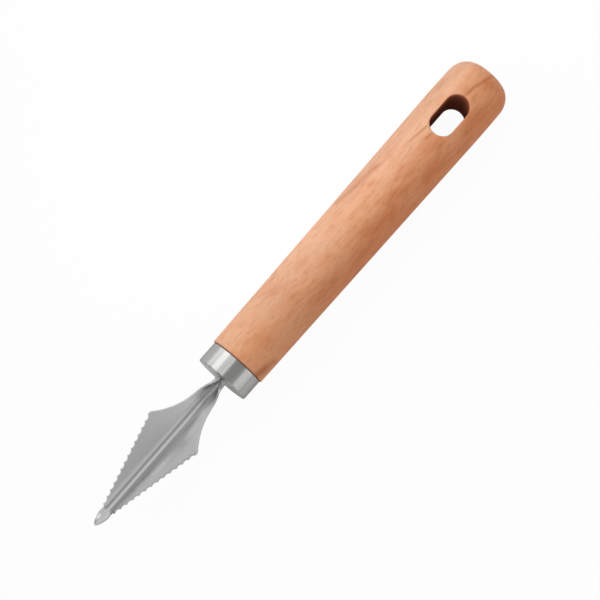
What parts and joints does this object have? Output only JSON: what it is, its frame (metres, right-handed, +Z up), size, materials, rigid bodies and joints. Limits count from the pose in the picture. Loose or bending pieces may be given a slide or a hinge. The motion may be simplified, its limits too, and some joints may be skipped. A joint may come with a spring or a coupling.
{
  "type": "fruit carving knife",
  "caption": "V-shaped fruit carving knife: folded steel blade with scalloped edges and a rolled neck, steel ferrule, and a round turned wooden handle with a hanging slot.",
  "frame": {"origin": "on the surface that the handle lies on, under the middle of the knife's length", "axes": "+X along the handle from the blade's tip to the butt, +Z up with the hollow of the blade facing up, +Y across"},
  "size_m": [0.1998, 0.023, 0.0229],
  "materials": {
    "blade_steel": "pressed sheet, satin",
    "ferrule_steel": "drawn and polished, fine lathe lines",
    "wood": "turned, sanded and lightly oiled",
    "resin": "cured adhesive"
  },
  "bodies": {
    "root": {"blade": "blade_steel", "ferrule": "ferrule_steel", "handle": "wood", "tang_adhesive": "resin"}
  },
  "joints": []
}
